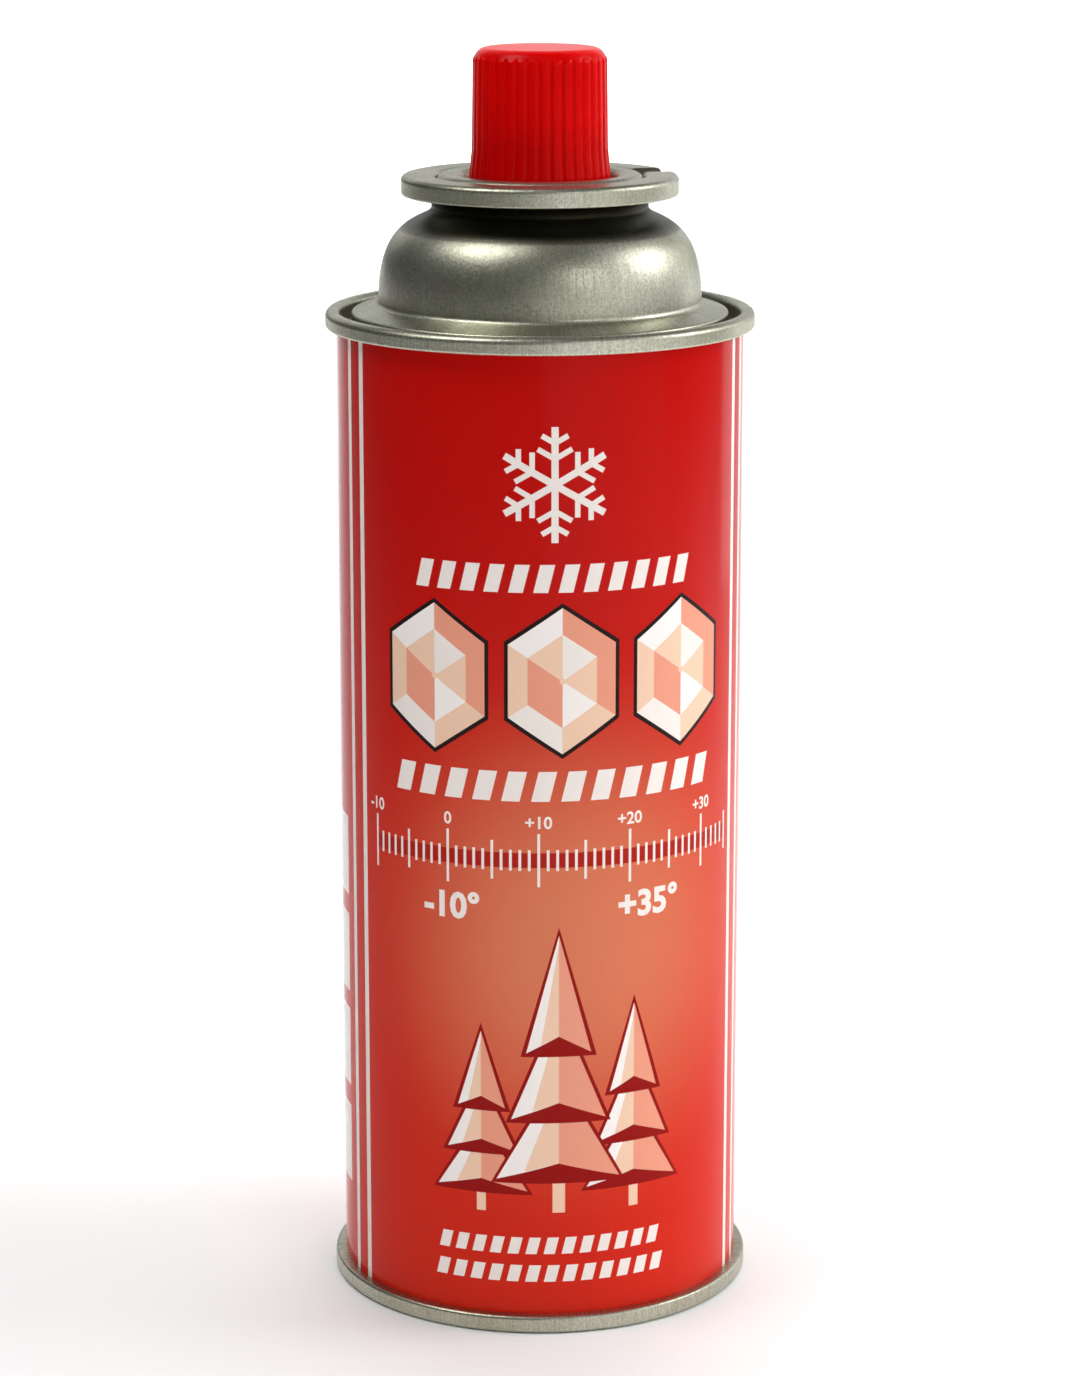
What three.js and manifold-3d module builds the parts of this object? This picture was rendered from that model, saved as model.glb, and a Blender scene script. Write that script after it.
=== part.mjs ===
// Fuel canister: a printed tinplate can that stands on its bottom seam, with a notched collar
// and a valve in its crown and a ribbed cap pushed into the valve cup.
// Millimetres, +Z up, origin in the middle of the foot, at the level that the can stands on.
import * as THREE from "three";
import { mergeVertices } from "three/addons/utils/BufferGeometryUtils.js";
import Module from "manifold-3d";

// Can body and its folded seams
const BODY_RADIUS = 32.5;
const SEAM_TOP = 160.6;
const SEAM_HEIGHT = 2.85;
const SEAM_STEP = 1.7;
const SEAM_WIDTH = 2.3;
const SEAM_ROUND = 0.8;
const SEAM_EDGE_ROUND = 0.4;

// Dished bottom
const DISH_DEPTH = 4.2;
const DISH_RISE = 4.4;
const DISH_CORNER = 1.2;

// Groove and ledge inside the top seam
const GROOVE_DEPTH = 4.4;
const GROOVE_WIDTH = 1.9;
const GROOVE_CORNER = 0.5;
const LEDGE_DROP = 0.35;
const LEDGE_WIDTH = 4.3;
const LEDGE_RISE = 1.3;
const LEDGE_FILLET = 1.0;

// Crown of the can
const CROWN_HEIGHT = 14.4;
const CROWN_FOOT = 1.05;
const CROWN_HANDLE = 0.97;
const CROWN_LEAN = 0.15;
const NECK_HANDLE = 2.6;
const NECK_FLARE = 0.26;
const NECK_HEIGHT = 1.7;

// Mouth of the can
const MOUTH_RADIUS = 15.5;
const CURL_HEIGHT = 2.5;
const CURL_ROUND = 0.5;
const SEAT_WIDTH = 1.7;

// Valve cup
const CUP_SHEET = 0.5;
const RECESS_DEPTH = 6.5;
const RECESS_RADIUS = 12.8;
const RECESS_TAPER = 1.3;
const BEAD_ROUND = 1.0;
const FLOOR_CORNER = 0.6;
const TURRET_RADIUS = 4.7;
const TURRET_HEIGHT = 9.0;
const TURRET_ROUND = 0.7;
const TURRET_FILLET = 0.5;

// Notched collar
const COLLAR_RADIUS = 22.0;
const COLLAR_RISE = 3.1;
const COLLAR_SHEET = 0.6;
const RIM_HEIGHT = 2.8;
const RIM_ROUND = 0.9;
const COLLAR_HOLE_ROUND = 0.4;
const NOTCH_WIDTH = 6.0;
const NOTCH_ANGLE = 20;

// Valve
const GASKET_THICKNESS = 1.0;
const HOUSING_WALL = 0.8;
const HOUSING_FLOOR = 1.0;
const HOUSING_TAIL = 4.7;
const STEM_RADIUS = 1.9;
const STEM_REACH = 4.5;
const STEM_BORE = 0.7;
const STEM_BORE_DEPTH = 5.5;
const STEM_ROUND = 0.4;
const SHOULDER_THICKNESS = 1.7;
const SPIGOT_RADIUS = 1.3;
const SPIGOT_LENGTH = 2.0;
const WIRE_RADIUS = 0.3;
const SPRING_TURNS = 4.5;

// Cap
const CAP_HEIGHT = 25.9;
const CAP_WALL = 1.1;
const CAP_TOP_WALL = 1.3;
const CAP_DRAFT = 0.2;
const CAP_TOP_ROUND = 2.0;
const CAP_LIP_HEIGHT = 8.6;
const CAP_LIP_STEP = 0.65;
const CAP_LIP_ROUND = 0.35;
const RIB_COUNT = 36;
const RIB_HEIGHT = 0.25;
const RIB_WIDTH = 0.9;
const RIB_START = 4;
const RIB_TOP_MARGIN = 2.2;

// Play between pieces, and how finely round shapes are divided
const CLEARANCE = 0.3;
const CAN_SEGMENTS = 44;
const CUP_SEGMENTS = 32;
const VALVE_SEGMENTS = 16;
const CORNER_STEP = Math.PI / 4;
const DISH_STEPS = 4;
const CROWN_STEPS = 8;
const COIL_STEPS = 8;
const WIRE_SIDES = 6;

// Levels and radii that follow from the sizes above
const seamRadius = BODY_RADIUS + SEAM_STEP;
const chuckRadius = seamRadius - SEAM_WIDTH;
const grooveLevel = SEAM_TOP - GROOVE_DEPTH;
const ledgeRadius = chuckRadius - GROOVE_WIDTH;
const ledgeLevel = SEAM_TOP - LEDGE_DROP;
const crownRadius = ledgeRadius - LEDGE_WIDTH;
const creaseLevel = ledgeLevel + LEDGE_RISE;
const crownLevel = creaseLevel + CROWN_FOOT;
const neckRadius = MOUTH_RADIUS + SEAT_WIDTH;
const neckLevel = crownLevel + CROWN_HEIGHT;
const seatLevel = neckLevel + NECK_HEIGHT;
const curlTop = seatLevel + CURL_HEIGHT;

const beadTop = curlTop + CLEARANCE + CUP_SHEET;
const beadRadius = MOUTH_RADIUS + CLEARANCE + CUP_SHEET;
const recessFloor = beadTop - RECESS_DEPTH;
const recessFloorRadius = RECESS_RADIUS - RECESS_TAPER;
const wellFloor = recessFloor - CUP_SHEET - CLEARANCE;
const turretTop = recessFloor + TURRET_HEIGHT;

const collarTop = seatLevel + COLLAR_RISE;
const collarHole = beadRadius + CLEARANCE;
const footTop = seatLevel + COLLAR_SHEET;
const notchDepthRadius = beadRadius + CLEARANCE / 3;

const gasketTop = turretTop - CUP_SHEET;
const gasketBottom = gasketTop - GASKET_THICKNESS;
const gasketHole = STEM_RADIUS + CLEARANCE;
const housingRadius = TURRET_RADIUS - CUP_SHEET - CLEARANCE;
const housingBore = housingRadius - HOUSING_WALL;
const housingBottom = wellFloor - HOUSING_TAIL;
const housingFloor = housingBottom + HOUSING_FLOOR;
const shoulderRadius = housingBore - CLEARANCE;
const shoulderTop = gasketBottom - CLEARANCE;
const shoulderBottom = shoulderTop - SHOULDER_THICKNESS;
const stemTip = turretTop + STEM_REACH;

const capBottom = recessFloor + CLEARANCE;
const capTop = capBottom + CAP_HEIGHT;
const lipRadius = recessFloorRadius - CLEARANCE;
const lipTop = capBottom + CAP_LIP_HEIGHT;
const capRadius = lipRadius - CAP_LIP_STEP;
const capBore = capRadius - CAP_WALL;

const MATERIALS = {
  can: new THREE.MeshStandardMaterial({ vertexColors: true, roughness: 0.35, metalness: 0.6 }),
  tinplate: new THREE.MeshStandardMaterial({ color: 0xa9a893, roughness: 0.32, metalness: 1.0 }),
  cap: new THREE.MeshStandardMaterial({ color: 0xc4140e, roughness: 0.3, metalness: 0.0 }),
  stem: new THREE.MeshStandardMaterial({ color: 0xe9e6da, roughness: 0.45, metalness: 0.0 }),
  housing: new THREE.MeshStandardMaterial({ color: 0xdcdad0, roughness: 0.5, metalness: 0.0 }),
  rubber: new THREE.MeshStandardMaterial({ color: 0x1c1c1c, roughness: 0.8, metalness: 0.0 }),
  wire: new THREE.MeshStandardMaterial({ color: 0xb8b8b8, roughness: 0.3, metalness: 1.0 }),
};
const PRINT_RED = new THREE.Color(0xb8221a);
const TINPLATE = new THREE.Color(0xa9a893);

// An outline from its corners: each corner is [radius, level] or [radius, level, rounding], and a
// rounding puts an arc that touches both sides in the corner's place.
function outline(corners) {
  const points = [];
  corners.forEach(([r, z, rounding], i) => {
    const corner = new THREE.Vector2(r, z);
    if (!rounding) {
      points.push(corner);
      return;
    }
    const before = new THREE.Vector2(...corners[i - 1].slice(0, 2)).sub(corner).normalize();
    const after = new THREE.Vector2(...corners[i + 1].slice(0, 2)).sub(corner).normalize();
    const opening = Math.acos(THREE.MathUtils.clamp(before.dot(after), -1, 1));
    const turn = Math.PI - opening;
    const reach = rounding / Math.tan(opening / 2);
    const middle = before.clone().add(after).normalize();
    const centre = corner.clone().addScaledVector(middle, rounding / Math.sin(opening / 2));
    const start = corner.clone().addScaledVector(before, reach).sub(centre);
    const side = Math.sign(before.cross(after));
    const steps = Math.max(1, Math.round(turn / CORNER_STEP));
    for (let k = 0; k <= steps; k++) {
      const angle = (-side * turn * k) / steps;
      points.push(start.clone().rotateAround(new THREE.Vector2(), angle).add(centre));
    }
  });
  return points;
}

// A bent sheet's closed outline: the path along one face, and the other face a thickness to its left.
function sheet(path, thickness) {
  const edges = path.slice(1).map((p, i) => p.clone().sub(path[i]).normalize());
  const other = path.map((p, i) => {
    const a = edges[Math.max(i - 1, 0)];
    const b = edges[Math.min(i, edges.length - 1)];
    const across = new THREE.Vector2(-a.y - b.y, a.x + b.x).normalize();
    const share = across.dot(new THREE.Vector2(-a.y, a.x));
    return p.clone().addScaledVector(across, thickness / share);
  });
  return [...path, ...other.reverse(), path[0].clone()];
}

// Turns an outline round the upright axis.
function turned(points, segments) {
  return new THREE.LatheGeometry(points, segments).rotateX(Math.PI / 2);
}

const wasm = await Module();
wasm.setup();

// A closed geometry as a solid for joining and cutting.
function solid(geometry) {
  const bare = geometry.clone();
  bare.deleteAttribute("normal");
  bare.deleteAttribute("uv");
  const merged = mergeVertices(bare, 1e-4);
  return new wasm.Manifold(new wasm.Mesh({
    numProp: 3,
    vertProperties: new Float32Array(merged.attributes.position.array),
    triVerts: new Uint32Array(merged.index.array),
  }));
}

// The geometry of a joined or cut solid.
function geometryOf(body) {
  const mesh = body.getMesh();
  const geometry = new THREE.BufferGeometry();
  geometry.setAttribute("position", new THREE.BufferAttribute(mesh.vertProperties, 3));
  geometry.setIndex(new THREE.BufferAttribute(mesh.triVerts, 1));
  geometry.computeVertexNormals();
  return geometry;
}

// Fields of colour: the body wall between the seams is printed, the rest is bare tinplate.
function printed(geometry) {
  const flat = geometry.toNonIndexed();
  const place = flat.attributes.position;
  const colours = new Float32Array(place.count * 3);
  for (let i = 0; i < place.count; i += 3) {
    const radii = [0, 1, 2].map((k) => Math.hypot(place.getX(i + k), place.getY(i + k)));
    const onWall = radii.every((r) => Math.abs(r - BODY_RADIUS) < SEAM_STEP / 10);
    const colour = onWall ? PRINT_RED : TINPLATE;
    [0, 1, 2].forEach((k) => colour.toArray(colours, (i + k) * 3));
  }
  flat.setAttribute("color", new THREE.BufferAttribute(colours, 3));
  return flat;
}

// The dished bottom from its middle outwards, a shallow bowl that opens downwards.
function dishPoints() {
  return Array.from({ length: DISH_STEPS }, (_, i) => {
    const share = i / DISH_STEPS;
    return [chuckRadius * share, DISH_DEPTH + DISH_RISE * (1 - share * share)];
  });
}

// The crown from its foot to the neck, one smooth cubic curve.
function crownPoints() {
  const curve = new THREE.CubicBezierCurve(
    new THREE.Vector2(crownRadius, crownLevel),
    new THREE.Vector2(crownRadius - CROWN_LEAN, crownLevel + CROWN_HANDLE * CROWN_HEIGHT),
    new THREE.Vector2(neckRadius - NECK_FLARE, neckLevel - NECK_HANDLE),
    new THREE.Vector2(neckRadius, neckLevel),
  );
  return curve.getPoints(CROWN_STEPS).map((p) => [p.x, p.y]);
}

// How wide the valve cup's recess is at a level.
function recessRadiusAt(level) {
  return RECESS_RADIUS - (RECESS_TAPER * (beadTop - level)) / RECESS_DEPTH;
}

// The filled and sealed vessel: dished bottom, body between its two seams, crown, and the mouth
// with the well that the valve sits in.
function sealedCan() {
  const behindCup = CUP_SHEET + CLEARANCE;
  return printed(turned(outline([
    ...dishPoints(),
    [chuckRadius, DISH_DEPTH, DISH_CORNER],
    [chuckRadius, 0, SEAM_ROUND],
    [seamRadius, 0, SEAM_ROUND],
    [seamRadius, SEAM_HEIGHT, SEAM_EDGE_ROUND],
    [BODY_RADIUS, SEAM_HEIGHT],
    [BODY_RADIUS, SEAM_TOP - SEAM_HEIGHT],
    [seamRadius, SEAM_TOP - SEAM_HEIGHT, SEAM_EDGE_ROUND],
    [seamRadius, SEAM_TOP, SEAM_ROUND],
    [chuckRadius, SEAM_TOP, SEAM_ROUND],
    [chuckRadius, grooveLevel, GROOVE_CORNER],
    [ledgeRadius, grooveLevel, GROOVE_CORNER],
    [ledgeRadius, ledgeLevel, GROOVE_CORNER],
    [crownRadius, creaseLevel, LEDGE_FILLET],
    ...crownPoints(),
    [neckRadius, seatLevel],
    [MOUTH_RADIUS, seatLevel],
    [MOUTH_RADIUS, curlTop, CURL_ROUND],
    [recessRadiusAt(curlTop) + behindCup, curlTop, CURL_ROUND],
    [recessRadiusAt(wellFloor) + behindCup, wellFloor],
    [TURRET_RADIUS - CUP_SHEET, wellFloor],
    [TURRET_RADIUS - CUP_SHEET, housingBottom],
    [0, housingBottom],
  ]), CAN_SEGMENTS));
}

// The cup that closes the mouth: a bead over the can's curl, a recess, and the turret that holds
// the valve.
function valveCup() {
  const face = outline([
    [beadRadius, footTop + CLEARANCE],
    [beadRadius, beadTop, BEAD_ROUND],
    [RECESS_RADIUS, beadTop, BEAD_ROUND],
    [recessFloorRadius, recessFloor, FLOOR_CORNER],
    [TURRET_RADIUS, recessFloor, TURRET_FILLET],
    [TURRET_RADIUS, turretTop, TURRET_ROUND],
    [gasketHole, turretTop],
  ]);
  return turned(sheet(face, CUP_SHEET), CUP_SEGMENTS);
}

// The ring that the stove takes hold of: its rim is folded down, its hem is turned in under the
// valve cup's bead, and one straight notch runs in from the rim.
function collar() {
  const face = outline([
    [COLLAR_RADIUS, collarTop - RIM_HEIGHT],
    [COLLAR_RADIUS, collarTop, RIM_ROUND],
    [collarHole, collarTop, COLLAR_HOLE_ROUND],
    [collarHole, footTop],
    [MOUTH_RADIUS + CLEARANCE, footTop],
  ]);
  const ring = solid(turned(sheet(face, COLLAR_SHEET), CAN_SEGMENTS));
  const length = COLLAR_RADIUS - notchDepthRadius + NOTCH_WIDTH;
  const cutter = new THREE.BoxGeometry(length, NOTCH_WIDTH, COLLAR_RISE * 4);
  cutter.translate(notchDepthRadius + length / 2, 0, seatLevel);
  cutter.rotateZ(THREE.MathUtils.degToRad(NOTCH_ANGLE));
  return geometryOf(ring.subtract(solid(cutter)));
}

// The rubber washer that seals round the stem, under the turret's top.
function stemGasket() {
  return turned(outline([
    [gasketHole, gasketBottom],
    [housingRadius, gasketBottom],
    [housingRadius, gasketTop],
    [gasketHole, gasketTop],
    [gasketHole, gasketBottom],
  ]), VALVE_SEGMENTS);
}

// The small plastic cup inside the turret, which holds the spring and the stem.
function valveHousing() {
  return turned(outline([
    [0, housingBottom],
    [housingRadius, housingBottom],
    [housingRadius, gasketBottom],
    [housingBore, gasketBottom],
    [housingBore, housingFloor],
    [0, housingFloor],
  ]), VALVE_SEGMENTS);
}

// The hollow stem that lets the gas out when it is pressed down.
function valveStem() {
  return turned(outline([
    [0, shoulderBottom - SPIGOT_LENGTH],
    [SPIGOT_RADIUS, shoulderBottom - SPIGOT_LENGTH],
    [SPIGOT_RADIUS, shoulderBottom],
    [shoulderRadius, shoulderBottom],
    [shoulderRadius, shoulderTop],
    [STEM_RADIUS, shoulderTop],
    [STEM_RADIUS, stemTip, STEM_ROUND],
    [STEM_BORE, stemTip],
    [STEM_BORE, stemTip - STEM_BORE_DEPTH],
    [0, stemTip - STEM_BORE_DEPTH],
  ]), VALVE_SEGMENTS);
}

// The line of the spring's wire, a helix between two levels.
class SpringLine extends THREE.Curve {
  constructor(radius, from, to, turns) {
    super();
    Object.assign(this, { radius, from, to, turns });
  }

  getPoint(share, target = new THREE.Vector3()) {
    const angle = 2 * Math.PI * this.turns * share;
    const level = THREE.MathUtils.lerp(this.from, this.to, share);
    return target.set(this.radius * Math.cos(angle), this.radius * Math.sin(angle), level);
  }
}

// The coil spring between the housing's floor and the stem's shoulder.
function valveSpring() {
  const coilRadius = (SPIGOT_RADIUS + housingBore) / 2;
  const inset = CLEARANCE + WIRE_RADIUS;
  const line = new SpringLine(coilRadius, housingFloor + inset, shoulderBottom - inset, SPRING_TURNS);
  const wire = new THREE.Shape().absarc(0, 0, WIRE_RADIUS, 0, 2 * Math.PI);
  const steps = Math.ceil(COIL_STEPS * SPRING_TURNS);
  return new THREE.ExtrudeGeometry(wire, {
    extrudePath: line, steps, curveSegments: WIRE_SIDES / 2, bevelEnabled: false,
  });
}

// One rib of the cap, leaning with the wall, at an angle round the axis.
function capRib(angle) {
  const from = lipTop;
  const to = capTop - RIB_TOP_MARGIN;
  const depth = CAP_WALL / 2 + RIB_HEIGHT;
  const rib = new THREE.BoxGeometry(depth, RIB_WIDTH, to - from);
  rib.translate(RIB_HEIGHT - depth / 2, 0, 0);
  rib.rotateY(-Math.atan(CAP_DRAFT / (capTop - lipTop)));
  rib.translate(capRadius - CAP_DRAFT / 2, 0, (from + to) / 2);
  return rib.rotateZ(angle);
}

// The push-in cap: a thin cup, mouth down, with a plain lip below and upright ribs above.
function cap() {
  let body = solid(turned(outline([
    [capBore, capBottom],
    [lipRadius, capBottom, CAP_LIP_ROUND],
    [lipRadius, lipTop, CAP_LIP_ROUND],
    [capRadius, lipTop],
    [capRadius - CAP_DRAFT, capTop, CAP_TOP_ROUND],
    [0, capTop],
    [0, capTop - CAP_TOP_WALL],
    [capBore, capTop - CAP_TOP_WALL, CAP_TOP_WALL],
    [capBore, capBottom],
  ]), CUP_SEGMENTS));
  for (let i = 0; i < RIB_COUNT; i++) {
    const angle = THREE.MathUtils.degToRad(RIB_START - 90 + (360 * i) / RIB_COUNT);
    body = body.add(solid(capRib(angle)));
  }
  return geometryOf(body);
}

function piece(name, geometry, material) {
  const mesh = new THREE.Mesh(geometry, material);
  mesh.name = name;
  return mesh;
}

const canister = new THREE.Group();
canister.add(
  piece("sealed_can", sealedCan(), MATERIALS.can),
  piece("collar", collar(), MATERIALS.tinplate),
  piece("valve_cup", valveCup(), MATERIALS.tinplate),
  piece("stem_gasket", stemGasket(), MATERIALS.rubber),
  piece("valve_housing", valveHousing(), MATERIALS.housing),
  piece("valve_spring", valveSpring(), MATERIALS.wire),
  piece("valve_stem", valveStem(), MATERIALS.stem),
  piece("cap", cap(), MATERIALS.cap),
);

export default canister;
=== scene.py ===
# Fuel canister: printed tinplate body, bare crown and seams, notched collar, valve, ribbed red cap.
import math

import bpy
import numpy as np
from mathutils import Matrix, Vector
from mathutils.geometry import delaunay_2d_cdt


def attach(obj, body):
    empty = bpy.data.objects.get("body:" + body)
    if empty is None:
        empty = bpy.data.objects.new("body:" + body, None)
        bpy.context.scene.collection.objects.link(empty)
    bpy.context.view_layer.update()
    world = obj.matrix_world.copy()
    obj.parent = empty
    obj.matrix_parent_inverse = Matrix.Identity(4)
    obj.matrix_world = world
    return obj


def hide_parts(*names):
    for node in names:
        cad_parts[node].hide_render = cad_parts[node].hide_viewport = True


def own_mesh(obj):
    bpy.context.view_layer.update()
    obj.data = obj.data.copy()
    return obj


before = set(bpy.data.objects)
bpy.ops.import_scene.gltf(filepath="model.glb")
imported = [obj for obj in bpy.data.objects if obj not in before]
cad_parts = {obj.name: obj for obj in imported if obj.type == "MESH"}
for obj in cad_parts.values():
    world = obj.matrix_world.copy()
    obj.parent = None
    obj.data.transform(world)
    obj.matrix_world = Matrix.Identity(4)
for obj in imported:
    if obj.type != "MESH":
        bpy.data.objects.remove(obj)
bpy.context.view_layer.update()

MM = 0.001

# Can body and its folded seams, millimetres
BODY_RADIUS = 32.5
SEAM_TOP = 160.6
SEAM_HEIGHT = 2.85
SEAM_RADIUS = BODY_RADIUS + 1.7
CHUCK_RADIUS = SEAM_RADIUS - 2.3
SEAM_ROUND = 0.8
SEAM_EDGE_ROUND = 0.4
TUCK = 0.25

# Dished bottom
DISH_DEPTH = 4.2
DISH_RISE = 4.4
DISH_CORNER = 1.2

# Roundings of the crown's corners
SEAM_OUTER_ROUND = 1.05
SEAM_INNER_ROUND = 0.95
GROOVE_ROUND = 0.6
LEDGE_ROUND = 0.5
CREASE_ROUND = 1.0
CURL_ROUND = 0.5

# Groove, ledge and crown
GROOVE_LEVEL = SEAM_TOP - 4.4
LEDGE_RADIUS = CHUCK_RADIUS - 1.9
LEDGE_LEVEL = SEAM_TOP - 0.35
CROWN_RADIUS = LEDGE_RADIUS - 4.3
CREASE_LEVEL = LEDGE_LEVEL + 1.3
CROWN_LEVEL = CREASE_LEVEL + 1.05
CROWN_HEIGHT = 14.4
NECK_RADIUS = 17.2
NECK_LEVEL = CROWN_LEVEL + CROWN_HEIGHT
SEAT_LEVEL = NECK_LEVEL + 1.7

# Mouth and valve cup
MOUTH_RADIUS = 15.5
CURL_TOP = SEAT_LEVEL + 2.5
GAP = 0.3
CUP_SHEET = 0.5
BEAD_TOP = CURL_TOP + GAP + CUP_SHEET
BEAD_RADIUS = MOUTH_RADIUS + GAP + CUP_SHEET
RECESS_FLOOR = BEAD_TOP - 6.5
RECESS_RADIUS = 12.8
RECESS_TAPER = 1.3
WELL_FLOOR = RECESS_FLOOR - CUP_SHEET - GAP
TURRET_RADIUS = 4.7
TURRET_TOP = RECESS_FLOOR + 9.0
HOUSING_BOTTOM = WELL_FLOOR - 4.7

# Notched collar
COLLAR_RADIUS = 22.0
COLLAR_TOP = SEAT_LEVEL + 3.1
COLLAR_SHEET = 0.6
RIM_HEIGHT = 2.8
NOTCH_WIDTH = 6.0
NOTCH_ANGLE = math.radians(20)
# How far painted shade darkens the notch's cut ends, from nought to one
NOTCH_SHADE = 0.85

# Valve stem
STEM_RADIUS = 1.9
STEM_TIP = TURRET_TOP + 4.5
STEM_BORE = 0.7
GASKET_BOTTOM = TURRET_TOP - CUP_SHEET - 1.0
HOUSING_BORE = TURRET_RADIUS - CUP_SHEET - GAP - 0.8
SHOULDER_HEIGHT = 1.7

# Valve spring
COIL_RADIUS = 2.2
WIRE_RADIUS = 0.3
COIL_TURNS = 4.5
SPRING_FOOT = HOUSING_BOTTOM + 1 + GAP
SPRING_HEAD = GASKET_BOTTOM - GAP - SHOULDER_HEIGHT - GAP

# Cap
CAP_BOTTOM = RECESS_FLOOR + GAP
CAP_TOP = CAP_BOTTOM + 25.9
LIP_RADIUS = RECESS_RADIUS - RECESS_TAPER - GAP
LIP_TOP = CAP_BOTTOM + 8.6
CAP_RADIUS = LIP_RADIUS - 0.65
CAP_WALL = 1.1
CAP_BORE = CAP_RADIUS - CAP_WALL
CAP_DRAFT = 0.2
CAP_TOP_ROUND = 2.0
CAP_CROWN = 1.3
SKIRT_ROUND = 3.0
RIB_COUNT = 36
RIB_HEIGHT = 0.25
RIB_START = math.radians(4)

# How finely round shapes are drawn
CAN_SEGMENTS = 160
CUP_SEGMENTS = 120
STEM_SEGMENTS = 64
COLLAR_COLUMNS = 200
RIB_COLUMNS = 12
EDGE_STEPS = 5
COIL_ROWS_PER_TURN = 40
WIRE_COLUMNS = 12

# Half the floor's width, in metres
FLOOR_HALF = 8.0

# Camera, as the photograph was taken: 634 mm in front of the can and 248.5 mm up
CAMERA_PLACE = (0.0, -0.6338, 0.2485)
CAMERA_DIP = 13.331
CAMERA_LENS = 104.65


def ink(red, green, blue):
    """A colour given as 0 to 255 screen values, as linear light."""
    share = np.array([red, green, blue]) / 255
    return np.where(share <= 0.04045, share / 12.92, ((share + 0.055) / 1.055) ** 2.4)


def unit(v):
    """Vectors over their lengths."""
    return v / np.linalg.norm(v, axis=-1, keepdims=True)


def right_of(direction):
    """The direction turned a quarter turn to its right, in the (radius, level) plane."""
    return np.stack([direction[..., 1], -direction[..., 0]], axis=-1)


def outline(corners, step=math.radians(9)):
    """Points and outward normals of an outline whose outside is on its right.

    A corner is (radius, level), passed through smoothly, or (radius, level, rounding), where an arc
    that touches both sides takes the corner's place: it starts at the rounding times the tangent of
    half the turn before the corner, and the normal turns with it.
    """
    spots = np.array([c[:2] for c in corners], float)
    ways = unit(np.diff(spots, axis=0))
    points, normals = [], []
    for i, corner in enumerate(corners):
        into = ways[max(i - 1, 0)]
        out = ways[min(i, len(ways) - 1)]
        if len(corner) == 2:
            points.append(spots[i][None])
            normals.append(right_of(unit(into + out))[None])
            continue
        turn = math.atan2(into[0] * out[1] - into[1] * out[0], into @ out)
        side = math.copysign(1, turn)
        start = spots[i] - into * corner[2] * math.tan(abs(turn) / 2)
        centre = start - right_of(into) * corner[2] * side
        angles = turn * np.linspace(0, 1, max(3, math.ceil(abs(turn) / step) + 1))
        heading = np.stack([
            into[0] * np.cos(angles) - into[1] * np.sin(angles),
            into[0] * np.sin(angles) + into[1] * np.cos(angles),
        ], axis=-1)
        points.append(centre + right_of(heading) * corner[2] * side)
        normals.append(right_of(heading))
    return np.concatenate(points), np.concatenate(normals)


def bent_sheet(corners, thickness):
    """Closed outline of a bent sheet: one face, the same face moved in by the thickness, and a half
    round of half the thickness over each cut edge."""
    face, normal = outline(corners)
    half_turn = np.linspace(0, math.pi, EDGE_STEPS + 2)[1:-1]

    def edge(point, across):
        """The half round at a cut edge: from the face's side over to the back's."""
        along = np.array([-across[1], across[0]])
        swing = np.outer(np.cos(half_turn), across) + np.outer(np.sin(half_turn), along)
        return point - across * thickness / 2 + swing * thickness / 2, swing

    last, last_normal = edge(face[-1], normal[-1])
    first, first_normal = edge(face[0] - normal[0] * thickness, -normal[0])
    points = [face, last, (face - normal * thickness)[::-1], first]
    normals = [normal, last_normal, -normal[::-1], first_normal]
    return np.concatenate(points), np.concatenate(normals)


def eased(value, low, high):
    """Nought below one value, one above the other, and a smooth step between them."""
    share = np.clip((value - low) / (high - low), 0, 1)
    return share * share * (3 - 2 * share)


def cubic(start, first_handle, second_handle, end, count):
    """Points along a cubic curve between two ends with two handles."""
    t = np.linspace(0, 1, count)[:, None]
    s = 1 - t
    a, b, c, d = (np.array(p, float) for p in (start, first_handle, second_handle, end))
    return s**3 * a + 3 * s**2 * t * b + 3 * s * t**2 * c + t**3 * d


def make_piece(name, points, faces, normals, body, slot, *nodes):
    """A mesh from points in millimetres, with its exact normals, riding on a body of the part."""
    mesh = bpy.data.meshes.new(name)
    mesh.from_pydata((points * MM).tolist(), [], faces)
    mesh.polygons.foreach_set("use_smooth", np.ones(len(mesh.polygons), bool))
    mesh.normals_split_custom_set_from_vertices(unit(normals).tolist())
    piece = bpy.data.objects.new(name, mesh)
    bpy.context.scene.collection.objects.link(piece)
    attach(piece, body)
    if nodes:
        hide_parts(*nodes)
    return piece


def grid_faces(rows, columns, wrap_rows, wrap_columns):
    """Four-cornered faces of a grid of points numbered row by row."""
    i = np.arange(rows if wrap_rows else rows - 1)[:, None]
    j = np.arange(columns if wrap_columns else columns - 1)[None]
    i, j = np.broadcast_arrays(i, j)
    here, there = i * columns, (i + 1) % rows * columns
    left, right = j, (j + 1) % columns
    return np.stack([here + left, here + right, there + right, there + left], axis=-1).reshape(-1, 4)


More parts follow.
